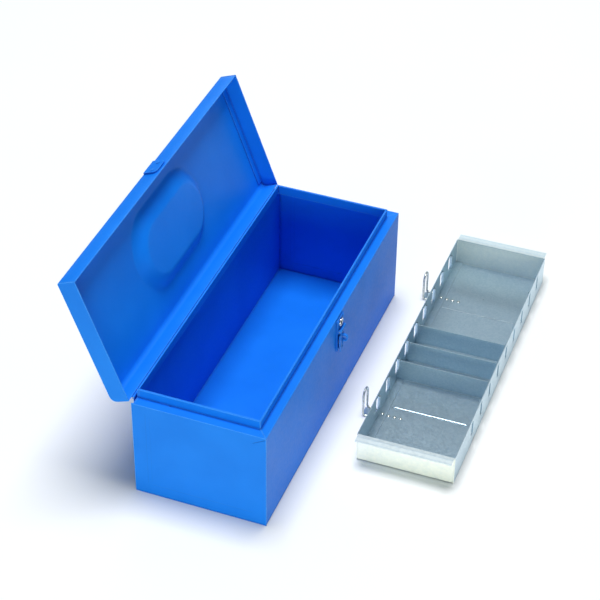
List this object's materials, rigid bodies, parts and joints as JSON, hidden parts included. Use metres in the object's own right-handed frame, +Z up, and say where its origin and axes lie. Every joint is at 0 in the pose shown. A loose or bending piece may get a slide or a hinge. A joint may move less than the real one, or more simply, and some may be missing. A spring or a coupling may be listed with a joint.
{
  "type": "toolbox with insert tray",
  "caption": "Sheet-steel toolbox standing open on its rear hinge, with a recessed carrying handle and a lockable hasp, and a divided lift-out tray beside it.",
  "frame": {"origin": "centre of the box's underside, on the floor", "axes": "+X along the box, -Y is the latch side where the tray lies, +Y the hinge side, +Z up"},
  "size_m": [0.6224, 0.4607, 0.3159],
  "materials": {
    "blue_paint": "gloss enamel",
    "galvanised_sheet": "galvanised, fine spangle",
    "zinc_plate": "bright zinc plate",
    "chrome": "polished",
    "dark_steel": "blackened"
  },
  "bodies": {
    "box": {"body_wrap": "blue_paint", "body_end_left": "blue_paint", "body_end_right": "blue_paint", "hinge_leaf_body": "blue_paint", "hinge_pin": "zinc_plate", "latch_plate": "blue_paint", "latch_pin": "zinc_plate", "padlock_staple": "blue_paint", "lock_housing": "chrome", "lock_nut": "zinc_plate", "latch_rivet_1": "blue_paint", "latch_rivet_2": "blue_paint", "latch_rivet_3": "blue_paint", "latch_rivet_4": "blue_paint"},
    "lid": {"lid_shell": "blue_paint", "lid_end_left": "blue_paint", "lid_end_right": "blue_paint", "lid_catch": "blue_paint", "catch_rivet_1": "blue_paint", "catch_rivet_2": "blue_paint", "hinge_leaf_lid": "blue_paint", "handle_saddle_left": "zinc_plate", "handle_saddle_right": "zinc_plate"},
    "handle": {"handle_bail": "zinc_plate"},
    "latch": {"latch_lever": "blue_paint"},
    "lock": {"lock_plug": "dark_steel", "lock_cam": "zinc_plate"},
    "tray": {"tray_pan": "galvanised_sheet", "tray_wall_rear": "galvanised_sheet", "tray_wall_front": "galvanised_sheet", "loop_strap_1": "galvanised_sheet", "loop_strap_2": "galvanised_sheet", "lifting_loop_1": "zinc_plate", "lifting_loop_2": "zinc_plate", "strap_rivet_1_1": "zinc_plate", "strap_rivet_1_2": "zinc_plate", "strap_rivet_1_3": "zinc_plate", "strap_rivet_1_4": "zinc_plate", "strap_rivet_2_1": "zinc_plate", "strap_rivet_2_2": "zinc_plate", "strap_rivet_2_3": "zinc_plate", "strap_rivet_2_4": "zinc_plate"},
    "divider_1": {"tray_divider_1": "galvanised_sheet"},
    "divider_2": {"tray_divider_2": "galvanised_sheet"},
    "divider_3": {"tray_divider_3": "galvanised_sheet"}
  },
  "joints": [
    {"name": "lid_hinge", "type": "hinge", "parent": "box", "child": "lid", "pos_m": [0, 0.0911, 0.1463], "axis": [1, 0, 0], "range_deg": [0, 110.5]},
    {"name": "handle_swing", "type": "hinge", "parent": "lid", "child": "handle", "pos_m": [0, 0.14282, 0.2381], "axis": [1, 0, 0], "range_deg": [-20.5, 130]},
    {"name": "latch_swing", "type": "hinge", "parent": "box", "child": "latch", "pos_m": [0.009, -0.0928, 0.1225], "axis": [-1, 0, 0], "range_deg": [0, 100]},
    {"name": "lock_turn", "type": "hinge", "parent": "box", "child": "lock", "pos_m": [0.009, -0.089, 0.133], "axis": [0, 1, 0], "range_deg": [0, 90]},
    {"name": "tray_lift", "type": "slide", "parent": "box", "child": "tray", "axis": [0, 0, 1], "range_m": [0, 0.18]},
    {"name": "divider_1_lift", "type": "slide", "parent": "tray", "child": "divider_1", "axis": [0, 0, 1], "range_m": [0, 0.045]},
    {"name": "divider_2_lift", "type": "slide", "parent": "tray", "child": "divider_2", "axis": [0, 0, 1], "range_m": [0, 0.045]},
    {"name": "divider_3_lift", "type": "slide", "parent": "tray", "child": "divider_3", "axis": [0, 0, 1], "range_m": [0, 0.045]}
  ]
}
